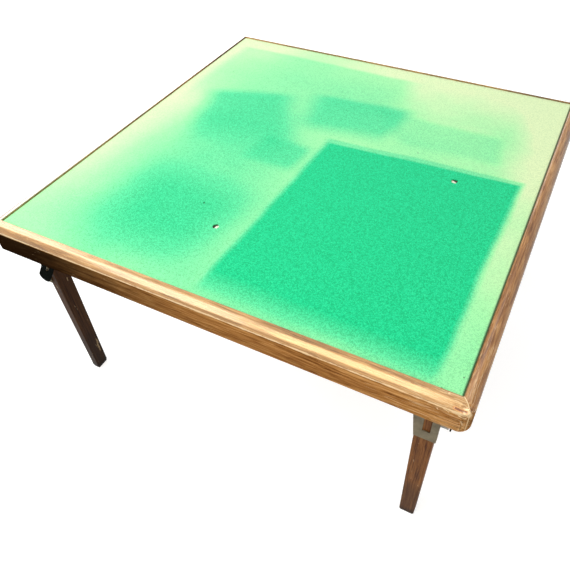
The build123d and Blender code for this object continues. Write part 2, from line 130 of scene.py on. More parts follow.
class Finish:
    """One node-based material, built a step at a time."""

    def __init__(self, name):
        self.material = bpy.data.materials.new(name)
        self.material.use_nodes = True
        self.nodes = self.material.node_tree.nodes
        self.links = self.material.node_tree.links
        self.shader = self.nodes["Principled BSDF"]
        self.place = self.nodes.new("ShaderNodeTexCoord").outputs["Object"]

    def feed(self, socket, value):
        """Links a socket to another one, or sets its constant."""
        if isinstance(value, bpy.types.NodeSocket):
            self.links.new(value, socket)
        elif isinstance(value, (tuple, list)) and socket.type == "RGBA" and len(value) == 3:
            socket.default_value = (*value, 1.0)
        else:
            socket.default_value = value

    def node(self, kind, feeds=None, **settings):
        made = self.nodes.new(kind)
        for name, value in settings.items():
            setattr(made, name, value)
        for name, value in (feeds or {}).items():
            self.feed(made.inputs[name], value)
        return made

    def scaled(self, scale):
        """The place on the object, scaled along each axis."""
        return self.node("ShaderNodeMapping", {"Vector": self.place, "Scale": scale}).outputs["Vector"]

    def noise(self, place, scale, detail=2.0, roughness=0.5, distortion=0.0):
        feeds = {
            "Vector": place,
            "Scale": scale,
            "Detail": detail,
            "Roughness": roughness,
            "Distortion": distortion,
        }
        return self.node("ShaderNodeTexNoise", feeds).outputs["Fac"]

    def maths(self, operation, first, second=0.0):
        made = self.node("ShaderNodeMath", operation=operation)
        for socket, value in zip(made.inputs, (first, second)):
            self.feed(socket, value)
        return made.outputs[0]

    def add(self, first, second):
        return self.maths("ADD", first, second)

    def minus(self, first, second):
        return self.maths("SUBTRACT", first, second)

    def times(self, first, second):
        return self.maths("MULTIPLY", first, second)

    def larger(self, first, second):
        return self.maths("MAXIMUM", first, second)

    def unsigned(self, value):
        return self.maths("ABSOLUTE", value)

    def vector(self, operation, first, second=None, scale=1.0, output=0):
        feeds = {0: first, "Scale": scale} if operation == "SCALE" else {0: first}
        if second is not None:
            feeds[1] = second
        return self.node("ShaderNodeVectorMath", feeds, operation=operation).outputs[output]

    def distance(self, centre):
        """How far the surface is from one place, in metres."""
        return self.vector("DISTANCE", self.place, centre, output="Value")

    def stroke(self, start, end):
        """How far the surface is from the line between two places, in metres."""
        run = Vector(end) - Vector(start)
        from_start = self.vector("SUBTRACT", self.place, Vector(start))
        share = self.vector("DOT_PRODUCT", from_start, run / run.length_squared, output="Value")
        share = self.node("ShaderNodeClamp", {"Value": share}).outputs[0]
        nearest = self.vector("SCALE", run, scale=share)
        return self.vector("LENGTH", self.vector("SUBTRACT", from_start, nearest), output="Value")

    def step(self, value, low, high, start=0.0, end=1.0):
        """A smooth step: start where the value is low, and end where it is high."""
        feeds = {"Value": value, "From Min": low, "From Max": high, "To Min": start, "To Max": end}
        return self.node("ShaderNodeMapRange", feeds, interpolation_type="SMOOTHSTEP").outputs[0]

    def mix(self, share, first, second, blend_type="MIX"):
        """Two colours in one. The numbers are the places of the node's sockets for colours."""
        made = self.node("ShaderNodeMix", data_type="RGBA", blend_type=blend_type)
        for socket, value in zip((made.inputs[0], made.inputs[6], made.inputs[7]), (share, first, second)):
            self.feed(socket, value)
        return made.outputs[2]

    def ramp(self, value, stops):
        """A colour from a value. New stops are put in the middle, before each gets its value and colour."""
        stops = tuple(stops)
        made = self.node("ShaderNodeValToRGB", {"Fac": value})
        elements = made.color_ramp.elements
        while len(elements) < len(stops):
            elements.new(0.5)
        for element, (place, colour) in zip(elements, stops):
            element.position = place
            element.color = (*colour, 1.0)
        return made.outputs["Color"]

    def apart(self, place=None):
        return self.node("ShaderNodeSeparateXYZ", {"Vector": place or self.place}).outputs

    def bump(self, height, strength, distance):
        feeds = {"Height": height, "Strength": strength, "Distance": distance}
        return self.node("ShaderNodeBump", feeds).outputs["Normal"]

    def finish(self, colour, roughness, normal=None, **constants):
        self.feed(self.shader.inputs["Base Color"], colour)
        self.feed(self.shader.inputs["Roughness"], roughness)
        if normal is not None:
            self.feed(self.shader.inputs["Normal"], normal)
        for name, value in constants.items():
            self.shader.inputs[name.replace("_", " ")].default_value = value
        return self.material


def colours():
    return bpy.context.scene.card_table_colours


def sizes():
    return bpy.context.scene.card_table_sizes


def shades(tone, dark_share, light_share):
    """A tone between its darker and its lighter shade."""
    dark = tuple(dark_share * part for part in tone)
    light = tuple(min(1.0, light_share * part) for part in tone)
    return dark, tone, light


def paint(node, material):
    """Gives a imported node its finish."""
    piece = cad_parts[node]
    if not piece.material_slots:
        piece.data.materials.append(material)
    for slot in piece.material_slots:
        slot.material = material


# Grain runs along one axis: noise is scaled by little along it and by much across it
GRAIN_SCALES = {
    "x": (6.0, 110.0, 110.0),
    "y": (110.0, 6.0, 110.0),
    "z": (110.0, 110.0, 4.0),
}

# The grain: its broad bands and their share, its fine lines, where its three tones come, and its pores
BROAD_BANDS = {"scale": 0.45, "detail": 3.0, "roughness": 0.6, "distortion": 0.4}
BROAD_SHARE = 0.35
FINE_LINES = {"scale": 3.2, "detail": 5.0, "roughness": 0.7, "distortion": 0.6}
GRAIN_STOPS = (0.39, 0.5, 0.61)
PORE_FINENESS = 3
PORE_SCALE = 2.6
PORE_STEP = (0.60, 0.72)
PORE_SHADE = 0.55
PORE_DEPTH = 0.8


def wood_grain(wood, axis, dark, mid, light):
    """Colour and height of straight-grained wood."""
    stretched = wood.scaled(GRAIN_SCALES[axis])
    broad = wood.noise(stretched, **BROAD_BANDS)
    fine = wood.noise(stretched, **FINE_LINES)
    pores = wood.noise(wood.scaled([PORE_FINENESS * scale for scale in GRAIN_SCALES[axis]]), PORE_SCALE)
    grain = wood.add(wood.times(broad, BROAD_SHARE), wood.times(fine, 1 - BROAD_SHARE))
    colour = wood.ramp(grain, zip(GRAIN_STOPS, (dark, mid, light)))
    pore_share = wood.step(pores, *PORE_STEP)
    colour = wood.mix(wood.times(pore_share, PORE_SHADE), colour, dark)
    return colour, wood.minus(fine, wood.times(pore_share, PORE_DEPTH))


# Worn arris of the rails: its height, how wide the rubbed line is, which is bare wood and a painted
# highlight, and the painted shade line just under it
ARRIS_HEIGHT = 384.5 * MILLIMETRE
ARRIS_WIDTH = 1.0 * MILLIMETRE
ARRIS_CORE = 0.35 * ARRIS_WIDTH
ARRIS_BARE_AND_HIGHLIGHT_SHARE = 0.85
ARRIS_PAINTED_SHADE_DROP = 2.0 * MILLIMETRE
ARRIS_PAINTED_SHADE = 0.55

# Patches in the stain, and what they step: how far the rubbed line wavers, and how rough the wood is
PATCH_SCALES = (26, 26, 60)
PATCHES = {"scale": 1.0, "detail": 4.0, "roughness": 0.65}
ARRIS_WAVER = (0.3, 0.75, 0.7 * MILLIMETRE, -1.5 * MILLIMETRE)
RAIL_ROUGHNESS = (0.2, 0.8, 0.13, 0.22)
WORN_ROUGHNESS = 0.25
RAIL_RELIEF = {"strength": 0.25, "distance": 0.15 * MILLIMETRE}

# Painted shade round the front left corner, which darkens the stain: where it starts and is full, how patchy,
# its fade at the arris, its share
PAINTED_SHADE_REACH = 500 * MILLIMETRE
PAINTED_SHADE_CORE = 140 * MILLIMETRE
PAINTED_SHADE_PATCHES = 120 * MILLIMETRE
PAINTED_SHADE_FADE = 3 * MILLIMETRE
PAINTED_SHADE_SHARE = 0.97

# Wear round the front right corner, and the bare line along each mitre, which is fainter away from it
WEAR_REACH = 200 * MILLIMETRE
WEAR_CORE = 10 * MILLIMETRE
MITRE_REACH = 1.2 * MILLIMETRE
MITRE_CORE = 0.3 * MILLIMETRE
MITRE_SHARE = 0.25

# Scratches along the grain: how much finer than it, how many more at the worn corner, and how bare
SCRATCH_FINENESS = 5
SCRATCHES = {"scale": 1.0, "detail": 3.0, "roughness": 0.7}
SCRATCH_STEP = (0.64, 0.71)
SCRATCH_EXTRA = 0.14
SCRATCH_SHARE = 0.4

# Knocks near the front right corner, in metres: where each starts and ends, and its radius
KNOCKS = (
    ((0.3725, -0.3760, 0.3850), (0.3750, -0.3740, 0.3800), 4.2 * MILLIMETRE),
    ((0.3560, -0.3800, 0.3838), (0.3710, -0.3785, 0.3822), 2.1 * MILLIMETRE),
    ((0.3640, -0.3800, 0.3800), (0.3720, -0.3770, 0.3765), 1.3 * MILLIMETRE),
    ((0.3680, -0.3795, 0.3690), (0.3705, -0.3785, 0.3620), 1.0 * MILLIMETRE),
    ((0.3450, -0.3800, 0.3840), (0.3520, -0.3800, 0.3800), 0.8 * MILLIMETRE),
    ((0.3380, -0.3800, 0.3800), (0.3400, -0.3800, 0.3770), 0.7 * MILLIMETRE),
    ((0.3460, -0.3660, 0.3950), (0.3468, -0.3655, 0.3950), 0.9 * MILLIMETRE),
    ((0.3572, -0.3685, 0.3950), (0.3580, -0.3690, 0.3950), 0.9 * MILLIMETRE),
)
KNOCK_CORE_SHARE = 0.6
KNOCK_BARE_SHARE = 0.9

# How frayed the edges of knocks are
FRAYS = {"scale": 420.0, "detail": 3.0, "roughness": 0.7}
FRAY_STEP = (0.3, 0.7, 0.5 * MILLIMETRE, -0.5 * MILLIMETRE)

# The gouge: where it starts and ends in metres, its size, how it is pressed in, and the cells cut for it
GOUGE_STROKE = ((0.3573, -0.3778, 0.3888), (0.3705, -0.3768, 0.3868))
GOUGE_RADIUS = 1.5 * MILLIMETRE
GOUGE_DEPTH = 0.7 * MILLIMETRE
GOUGE_PUSH = Vector((0.0, 0.6, -0.8))
GOUGE_RAGGEDNESS = 0.5
GOUGE_RAGGED_SCALE = 700
GOUGE_CELL = 1.4 * MILLIMETRE
WELD = 0.002 * MILLIMETRE

# How the gouge looks: its bruised rim, and the fresh wood in it
GOUGE_FRAY_SHARE = 0.6
BRUISE_STEP = (2.2 * GOUGE_RADIUS, GOUGE_RADIUS, 0.0, 0.8)
FRESH_STEP = (1.1 * GOUGE_RADIUS, 0.7 * GOUGE_RADIUS)
FRESH_RELIEF = 3.0

# How glossy each part of the rails is: polished by hands, freshly varnished, rubbed, or dull
POLISHED = {
    "IOR": 1.85,
    "Specular_IOR_Level": 1.0,
    "Specular_Tint": (*linear(255, 232, 186), 1.0),
    "Coat_Weight": 0.3,
}
VARNISHED = {
    "Specular_IOR_Level": 1.0,
    "Coat_Weight": 1.0,
    "Coat_IOR": 1.9,
    "Coat_Roughness": 0.1,
}
RUBBED = {"Specular_IOR_Level": 0.45}
DULL = {"Specular_IOR_Level": 0.0}

# Each rail: the way that its grain runs, and the gloss of its shoulder
RAIL_SIDES = {
    "front": ("x", POLISHED),
    "back": ("x", VARNISHED),
    "left": ("y", VARNISHED),
    "right": ("y", RUBBED),
}


def rail_painted_shade(wood, patchy):
    """Painted shade: the stain darkens below the arris, towards the front left corner."""
    from_corner = wood.distance((-HALF_WIDTH, -HALF_WIDTH, ARRIS_HEIGHT))
    from_corner = wood.add(from_corner, wood.times(patchy, PAINTED_SHADE_PATCHES))
    painted_shade = wood.step(from_corner, PAINTED_SHADE_REACH, PAINTED_SHADE_CORE, end=PAINTED_SHADE_SHARE)
    height = wood.apart()[2]
    return wood.times(painted_shade, wood.step(height, ARRIS_HEIGHT, ARRIS_HEIGHT - PAINTED_SHADE_FADE))


def rail_arris(wood, patchy):
    """How dark the painted shade line just under the arris is, and how bare the arris is rubbed, which also
    paints a highlight along it.
    """
    x, y, z = wood.apart()
    inside = wood.minus(HALF_WIDTH, wood.larger(wood.unsigned(x), wood.unsigned(y)))
    rise = wood.minus(z, ARRIS_HEIGHT)
    from_shade = wood.unsigned(wood.add(rise, ARRIS_PAINTED_SHADE_DROP))
    # Painted shade: a dark line just under the arris
    shade = wood.step(from_shade, ARRIS_WIDTH, 0.0, end=ARRIS_PAINTED_SHADE)
    from_arris = wood.maths("SQRT", wood.add(wood.times(inside, inside), wood.times(rise, rise)))
    waver = wood.step(patchy, *ARRIS_WAVER)
    wavering = wood.add(from_arris, waver)
    # Bare wood and a painted highlight along the arris
    rubbed = wood.step(wavering, ARRIS_WIDTH, ARRIS_CORE, end=ARRIS_BARE_AND_HIGHLIGHT_SHARE)
    return shade, rubbed


def rail_wear(wood, axis, fray):
    """How bare the rail is away from its arris: scratches, the line along each mitre, and knocks."""
    near_corner = wood.step(wood.distance((HALF_WIDTH, -HALF_WIDTH, TABLE_HEIGHT)), WEAR_REACH, WEAR_CORE)
    scratch_place = wood.scaled([SCRATCH_FINENESS * scale for scale in GRAIN_SCALES[axis]])
    scratch = wood.noise(scratch_place, **SCRATCHES)
    scratch = wood.add(scratch, wood.times(near_corner, SCRATCH_EXTRA))
    wear = wood.step(scratch, *SCRATCH_STEP, end=SCRATCH_SHARE)
    x, y = wood.apart()[:2]
    from_mitre = wood.unsigned(wood.minus(wood.unsigned(x), wood.unsigned(y)))
    mitre = wood.step(from_mitre, MITRE_REACH, MITRE_CORE)
    wear = wood.larger(wear, wood.times(mitre, wood.add(near_corner, MITRE_SHARE)))
    for start, end, radius in KNOCKS:
        frayed = wood.add(wood.stroke(start, end), fray)
        knock = wood.step(frayed, radius, KNOCK_CORE_SHARE * radius, end=KNOCK_BARE_SHARE)
        wear = wood.larger(wear, knock)
    return wear


def rail_finish(name, axis, gloss):
    """Stained rail wood, with the constants of its polished shoulder or of its dull outer face."""
    wood = Finish(name)
    tones = colours()
    colour, height = wood_grain(wood, axis, tones.wood_dark[:], tones.wood_mid[:], tones.wood_light[:])
    patchy = wood.noise(wood.scaled(PATCH_SCALES), **PATCHES)
    fray = wood.step(wood.noise(wood.place, **FRAYS), *FRAY_STEP)
    # Painted shade towards the front left corner, below the arris
    colour = wood.mix(rail_painted_shade(wood, patchy), colour, tones.wood_darkened[:])
    # Painted shade just under the arris, and the rubbed arris, which is also a painted highlight
    shade, rubbed = rail_arris(wood, patchy)
    colour = wood.mix(shade, colour, tones.wood_dark[:])
    wear = wood.larger(rubbed, rail_wear(wood, axis, fray))
    colour = wood.mix(wear, colour, tones.wood_worn[:])
    # The gouge has a bruised rim and fresh wood inside
    from_gouge = wood.add(wood.stroke(*GOUGE_STROKE), wood.times(fray, GOUGE_FRAY_SHARE))
    bruised = wood.step(from_gouge, *BRUISE_STEP)
    colour = wood.mix(bruised, colour, tones.wood_bruised[:])
    gouged = wood.step(from_gouge, *FRESH_STEP)
    colour = wood.mix(gouged, colour, tones.wood_fresh[:])
    roughness = wood.add(wood.step(patchy, *RAIL_ROUGHNESS), wood.times(wear, WORN_ROUGHNESS))
    relief = wood.minus(height, wood.times(gouged, FRESH_RELIEF))
    normal = wood.bump(relief, **RAIL_RELIEF)
    return wood.finish(colour, roughness, normal, **gloss)


# Steps of a leg's colour: on x plus y for the painted shade on the front left leg, on height for the
# darkening and the tip, on noise for scuffs
FRONT_LEFT_LEG_SHADE_STEP = (-300 * MILLIMETRE, -500 * MILLIMETRE, 0.0, 0.78)
LEG_FOOT_DARKENING_STEP = (135 * MILLIMETRE, 85 * MILLIMETRE, 0.0, 0.5)
LEG_TIP_STEP = (34 * MILLIMETRE, 14 * MILLIMETRE, 0.0, 0.75)
LEG_SCUFF_STEP = (0.62, 0.70, 0.0, 0.4)

# Patches in the darkening towards the foot, scuffs on the legs, and how rough the legs are
LEG_FOOT_DARKENING_SCALES = (30, 30, 14)
LEG_FOOT_DARKENING_PATCHES = {"scale": 1.0, "detail": 4.0, "roughness": 0.6}
LEG_FOOT_DARKENING_WAVER = 20 * MILLIMETRE
LEG_SCUFF_SCALES = (110, 110, 24)
LEG_SCUFFS = {"scale": 1.0, "detail": 4.0, "roughness": 0.7}
LEG_ROUGHNESS = 0.42
LEG_RELIEF = {"strength": 0.3, "distance": 0.15 * MILLIMETRE}


def leg_finish(name):
    """Stained legs: the front left one is darkened by painted shade, and each is darker towards its foot."""
    wood = Finish(name)
    tones = colours()
    colour, height = wood_grain(wood, "z", tones.leg_dark[:], tones.leg_mid[:], tones.leg_light[:])
    x, y, z = wood.apart()
    # Painted shade darkens the front left leg
    colour = wood.mix(wood.step(wood.add(x, y), *FRONT_LEFT_LEG_SHADE_STEP), colour, tones.wood_darkened[:])
    foot_patches = wood.noise(wood.scaled(LEG_FOOT_DARKENING_SCALES), **LEG_FOOT_DARKENING_PATCHES)
    low = wood.add(z, wood.times(foot_patches, LEG_FOOT_DARKENING_WAVER))
    colour = wood.mix(wood.step(low, *LEG_FOOT_DARKENING_STEP), colour, tones.wood_darkened[:])
    colour = wood.mix(wood.step(low, *LEG_TIP_STEP), colour, tones.leg_tip[:])
    scuff = wood.noise(wood.scaled(LEG_SCUFF_SCALES), **LEG_SCUFFS)
    colour = wood.mix(wood.step(scuff, *LEG_SCUFF_STEP), colour, tones.wood_worn[:])
    normal = wood.bump(height, **LEG_RELIEF)
    return wood.finish(colour, LEG_ROUGHNESS, normal, Specular_IOR_Level=0.05)


# Unstained boards: the shares of their tone that dark and light grain have, and how rough they are
BOARD_SHARES = (0.62, 1.15)
BOARD_ROUGHNESS = 0.68
BOARD_RELIEF = {"strength": 0.3, "distance": 0.2 * MILLIMETRE}


def plain_wood_finish(name, axis):
    wood = Finish(name)
    colour, height = wood_grain(wood, axis, *shades(colours().plain_wood[:], *BOARD_SHARES))
    return wood.finish(colour, BOARD_ROUGHNESS, wood.bump(height, **BOARD_RELIEF))


# Moth holes: place in metres, share of the set radius, and the side on which painted shadow shows in it
MOTH_HOLES = (
    (-0.0575, -0.2310, 1.0, (-0.95, 0.32, 0.0)),
    (0.2325, 0.0305, 1.05, (0.60, 0.80, 0.0)),
    (-0.1060, -0.1910, 0.35, (-1.0, 0.0, 0.0)),
)

# What shows in a moth hole, in shares of its radius: reach of the underlay, and reach and waver of the
# painted shadow
UNDERLAY_SHARES = (2.0, 1.8)
HOLE_SHADOW_SHARES = (0.1, 0.35)
HOLE_SHADOW_WAVER_SHARE = 0.3
HOLE_SHADOW_WAVER_STEP = (0.3, 0.7)
HOLE_SHADOW_WAVER_SCALE = 500.0


def panel_finish(name):
    """Plywood, with pale underlay and a painted shadow on one side where a moth hole bares it."""
    wood = Finish(name)
    tones = colours()
    colour, height = wood_grain(wood, "x", *shades(tones.plywood[:], *BOARD_SHARES))
    raggedness = wood.noise(wood.place, HOLE_SHADOW_WAVER_SCALE)
    for across, deep, share, shadowed_side in MOTH_HOLES:
        centre = (across, deep, PANEL_TOP)
        radius = sizes().hole_radius * share
        bared = wood.step(wood.distance(centre), *(share * radius for share in UNDERLAY_SHARES))
        colour = wood.mix(bared, colour, tones.underlay[:])
        # Painted shadow: one side of the bared underlay is darkened, where the cloth's edge would shade it
        from_centre = wood.vector("SUBTRACT", wood.place, centre)
        depth = wood.vector("DOT_PRODUCT", from_centre, shadowed_side, output="Value")
        waver = HOLE_SHADOW_WAVER_SHARE * radius
        depth = wood.add(depth, wood.step(raggedness, *HOLE_SHADOW_WAVER_STEP, -waver, waver))
        shadowed = wood.times(bared, wood.step(depth, *(share * radius for share in HOLE_SHADOW_SHARES)))
        colour = wood.mix(shadowed, colour, tones.hole_shadow[:])
    return wood.finish(colour, BOARD_ROUGHNESS, wood.bump(height, **BOARD_RELIEF))


# Paint, steel and rubber: their clouds, the stops and shares of their tones, their specks and their relief
PAINT_CLOUDS = {"scale": 60.0, "detail": 4.0, "roughness": 0.6}
PAINT_STOPS = (0.3, 0.5, 0.7)
PAINT_SHARES = (0.7, 1.25)
PAINT_RELIEF = {"strength": 0.2, "distance": 0.08 * MILLIMETRE}
CHIP_SCALE = 900.0
CHIP_STEP = (0.66, 0.74)
STEEL_CLOUDS = {"scale": 240.0, "detail": 4.0, "roughness": 0.6}
STEEL_STOPS = (0.3, 0.65)
STEEL_DARK_SHARE = 0.6
STEEL_ROUGHNESS = 0.36
STEEL_RELIEF = {"strength": 0.15, "distance": 0.05 * MILLIMETRE}
RUST_PATCHES = {"scale": 420.0, "detail": 3.0, "roughness": 0.6}
RUST_STEP = (0.58, 0.7, 0.0, 0.5)
RUBBER_DUST = {"scale": 180.0, "detail": 4.0, "roughness": 0.6}
RUBBER_STOPS = (0.35, 0.75)
RUBBER_DUST_SHARE = 3
RUBBER_ROUGHNESS = 0.75
RUBBER_RELIEF = {"strength": 0.3, "distance": 0.2 * MILLIMETRE}


def painted_steel_finish(name, tone, roughness, chipped, specular):
    """Cloudy paint with specks where it has come off."""
    steel = Finish(name)
    cloud = steel.noise(steel.place, **PAINT_CLOUDS)
    colour = steel.ramp(cloud, zip(PAINT_STOPS, shades(tone, *PAINT_SHARES)))
    speck = steel.noise(steel.place, CHIP_SCALE)
    colour = steel.mix(steel.step(speck, *CHIP_STEP, end=chipped), colour, colours().chipped_paint[:])
    normal = steel.bump(speck, **PAINT_RELIEF)
    return steel.finish(colour, roughness, normal, Specular_IOR_Level=specular)


def bright_steel_finish(name):
    """Plain steel with a little rust."""
    steel = Finish(name)
    tone = colours().bright_steel[:]
    dark = tuple(STEEL_DARK_SHARE * part for part in tone)
    cloud = steel.noise(steel.place, **STEEL_CLOUDS)
    colour = steel.ramp(cloud, zip(STEEL_STOPS, (dark, tone)))
    rusty = steel.noise(steel.place, **RUST_PATCHES)
    colour = steel.mix(steel.step(rusty, *RUST_STEP), colour, colours().rust[:])
    normal = steel.bump(cloud, **STEEL_RELIEF)
    return steel.finish(colour, STEEL_ROUGHNESS, normal, Metallic=0.9)


def rubber_finish(name):
    """Black rubber with paler dust."""
    rubber = Finish(name)
    tone = colours().pad_rubber[:]
    dusty = tuple(RUBBER_DUST_SHARE * part for part in tone)
    dust = rubber.noise(rubber.place, **RUBBER_DUST)
    colour = rubber.ramp(dust, zip(RUBBER_STOPS, (tone, dusty)))
    return rubber.finish(colour, RUBBER_ROUGHNESS, rubber.bump(dust, **RUBBER_RELIEF))


# Patches that lay covered, in millimetres from the middle: four corners, softness of four edges, and share
COVERED_PATCHES = (
    ((-11, -328), (321, -340), (331, 63), (1, 47), (34, 6, 4, 7), 0.96),
    ((-14, -340), (327, -345), (337, 74), (-6, 60), (30, 6, 4, 8), 0.34),
    ((-250, -22), (-53, -2), (-144, 170), (-291, 125), (60, 36, 18, 30), 0.56),
    ((-75, 79), (85, 98), (96, 209), (-90, 195), (30, 20, 14, 34), 0.48),
    ((115, 94), (288, 108), (269, 183), (39, 191), (16, 14, 12, 16), 0.20),
    ((-116, -49), (-25, -55), (-18, 14), (-112, 24), (18, 14, 14, 16), 0.40),
    ((-234, -298), (-70, -306), (-44, -154), (-232, -136), (60, 45, 50, 60), 0.60),
    ((-310, -330), (-30, -345), (-30, 60), (-290, 110), (60, 80, 80, 80), 0.32),
    ((-345, 100), (70, 140), (60, 320), (-338, 325), (60, 30, 7, 18), 0.24),
)

# Bleached edges, in millimetres: axis, start, full and share across the edge, and the weak end along it
BLEACHED_EDGES = (
    ("x", -170, -330, 0.26, "y", -360, -80, 0.50),
    ("x", 270, 345, 0.28, "y", -360, 160, 0.20),
    ("y", 200, 340, 0.26, "x", -200, 200, 0.25),
)

# How green open baize is at the middle, how much less per metre towards the back, how cloudy and how wavy
OPEN_GREEN = 0.36
OPEN_GREEN_SLOPE = 0.30
OPEN_GREEN_CLOUDS = 0.30
OPEN_CLOUDS = {"scale": 7.0, "detail": 3.0}
WOBBLE = 12 * MILLIMETRE
WOBBLES = {"Scale": 9.0, "Detail": 3.0}
NOISE_MIDDLE = 0.5

# The tufts: their two noises, the steps of their shade and of their pale tips, and their relief
FIBRES = {"scale": 900.0, "roughness": 0.7}
MOTTLE = {"scale": 450.0, "roughness": 0.6}
TUFT_SHADE_STEP = (0.58, 0.38)
GREEN_SHADE_STEP = (0.1, 1.0, 0.24, 0.56)
TUFT_TIP_STEP = (0.52, 0.72, 0.0, 0.08)
BAIZE_RELIEF = {"strength": 0.6, "distance": 1.0 * MILLIMETRE}
BAIZE_ROUGHNESS = 0.95

# Painted shade along two edges of the baize, and dark specks in metres from its middle
RIGHT_PAINTED_SHADE_WIDTH = 4.0 * MILLIMETRE
FRONT_PAINTED_SHADE_WIDTH = 2.2 * MILLIMETRE
PAINTED_SHADE_CORE_SHARE = 0.4
EDGE_PAINTED_SHADE_SHARE = 0.9
SPECKS = ((0.152, 0.083), (0.148, -0.196), (0.355, -0.336), (0.336, -0.361), (-0.299, 0.206))
SPECK_RADIUS = 1.6 * MILLIMETRE
SPECK_CORE = 0.5 * SPECK_RADIUS
SPECK_SHARE = 0.7


def covered(felt, place, corners, edges, share):
    """How green a patch stayed. Corners and edges run anticlockwise, from the front left and the front."""
    mask = share
    for start, end, soft in zip(corners, corners[1:] + corners[:1], edges):
        along = Vector((end[0] - start[0], end[1] - start[1])).normalized()
        inward = (-along.y, along.x, 0.0)
        depth = felt.vector("DOT_PRODUCT", place, inward, output="Value")
        offset = start[0] * inward[0] + start[1] * inward[1]
        inside = felt.step(depth, (offset - soft) * MILLIMETRE, (offset + soft) * MILLIMETRE)
        mask = felt.times(mask, inside)
    return mask


def green_share(felt):
    """How green the baize stayed: least at its sunny edges, and most where things covered it."""
    wobble = felt.node("ShaderNodeTexNoise", {"Vector": felt.place, **WOBBLES}).outputs["Color"]
    wobble = felt.vector("SUBTRACT", wobble, (NOISE_MIDDLE, NOISE_MIDDLE, NOISE_MIDDLE))
    wobble = felt.vector("SCALE", wobble, scale=WOBBLE)
    wobbly_place = felt.vector("ADD", felt.place, wobble)
    x, y = felt.apart(wobbly_place)[:2]
    axes = {"x": x, "y": y}
    bare = felt.minus(OPEN_GREEN, felt.times(y, OPEN_GREEN_SLOPE))
    for across, start, full, share, along, weak, strong, weak_share in BLEACHED_EDGES:
        edge = felt.step(axes[across], start * MILLIMETRE, full * MILLIMETRE, end=share)
        weakened = felt.step(axes[along], weak * MILLIMETRE, strong * MILLIMETRE, start=weak_share)
        bare = felt.minus(bare, felt.times(edge, weakened))
    cloud = felt.minus(felt.noise(felt.place, **OPEN_CLOUDS), NOISE_MIDDLE)
    bare = felt.add(bare, felt.times(cloud, OPEN_GREEN_CLOUDS))
    faded = felt.minus(1.0, felt.larger(bare, 0.0))
    for *corners, edges, share in COVERED_PATCHES:
        mask = covered(felt, wobbly_place, tuple(corners), edges, share)
        faded = felt.times(faded, felt.minus(1.0, mask))
    return felt.minus(1.0, faded)


def baize_finish():
    felt = Finish("faded_baize")
    tones = colours()
    green = green_share(felt)
    colour = felt.ramp(green, (
        (0.06, tones.baize_straw[:]),
        (0.34, tones.baize_pale[:]),
        (0.66, tones.baize_mid[:]),
        (0.95, tones.baize_deep[:]),
    ))
    # Shade between the tufts, and the paler tips of the tufts
    both = felt.add(felt.noise(felt.place, **FIBRES), felt.noise(felt.place, **MOTTLE))
    fleck = felt.times(both, 0.5)
    shade = felt.times(felt.step(fleck, *TUFT_SHADE_STEP), felt.step(green, *GREEN_SHADE_STEP))
    colour = felt.mix(shade, colour, felt.mix(1.0, colour, tones.baize_fleck[:], "MULTIPLY"))
    colour = felt.mix(felt.step(fleck, *TUFT_TIP_STEP), colour, tones.baize_pale[:])
    # Painted shade along the right and front edges, and specks
    x, y = felt.apart()[:2]
    shaded_edges = (
        (felt.minus(BAIZE_HIGH.x, x), RIGHT_PAINTED_SHADE_WIDTH),
        (felt.add(BAIZE_HIGH.x, y), FRONT_PAINTED_SHADE_WIDTH),
    )
    for from_edge, width in shaded_edges:
        painted_shade = felt.step(from_edge, width, PAINTED_SHADE_CORE_SHARE * width, end=EDGE_PAINTED_SHADE_SHARE)
        colour = felt.mix(painted_shade, colour, tones.baize_shade_and_grime[:])
    for across, deep in SPECKS:
        from_speck = felt.distance((across, deep, BAIZE_HIGH.z))
        speck = felt.step(from_speck, SPECK_RADIUS, SPECK_CORE, end=SPECK_SHARE)
        colour = felt.mix(speck, colour, tones.baize_shade_and_grime[:])
    normal = felt.bump(fleck, **BAIZE_RELIEF)
    return felt.finish(
        colour, BAIZE_ROUGHNESS, normal, Sheen_Weight=0.06, Sheen_Roughness=0.6, Specular_IOR_Level=0.12
    )


def only_object(piece):
    bpy.ops.object.select_all(action="DESELECT")
    piece.select_set(True)
    bpy.context.view_layer.objects.active = piece


def apply_modifier(piece, kind, **settings):
    only_object(piece)
    modifier = piece.modifiers.new(kind.lower(), kind)
    for name, value in settings.items():
        setattr(modifier, name, value)
    bpy.ops.object.modifier_apply(modifier=modifier.name)


def settle(piece):
    """Puts a finished piece's place into its mesh."""
    only_object(piece)
    bpy.ops.object.transform_apply(location=True, rotation=True, scale=True)


def select_where(piece, test):
    """In edit mode, selects only the faces whose middle passes the test."""
    mesh = bmesh.from_edit_mesh(piece.data)
    for face in mesh.faces:
        face.select_set(test(face.calc_center_median()))
    mesh.select_flush_mode()
    bmesh.update_edit_mesh(piece.data)


# The cloth: cells along each side, thickness without its nap, slow waves, and the fall of its tucked edge
BAIZE_CELLS = 200
CLOTH_THICKNESS = 0.9 * MILLIMETRE
CLOTH_WAVES = 0.25 * MILLIMETRE
CLOTH_WAVE_SCALE = 14
EDGE_FALL = 0.4 * MILLIMETRE
EDGE_FALL_WIDTH = 2.0 * MILLIMETRE

# Moth holes are cut from finer cells, which reach this far past them, and their outline is this ragged
HOLE_MARGIN = 6 * MILLIMETRE
HOLE_CUTS = 5
HOLE_RAGGEDNESS = 0.35
HOLE_RAGGED_SCALE = 2

# Faces that meet at a smaller angle than this are shaded as one
BAIZE_CREASE = math.radians(50)
RAIL_CREASE = math.radians(22)


def ragged(angle, radius, seed):
    """Radius of a moth hole in one direction."""
    turned = Vector((HOLE_RAGGED_SCALE * math.cos(angle), HOLE_RAGGED_SCALE * math.sin(angle), seed))
    return radius * (1.0 + HOLE_RAGGEDNESS * noise.noise(turned))


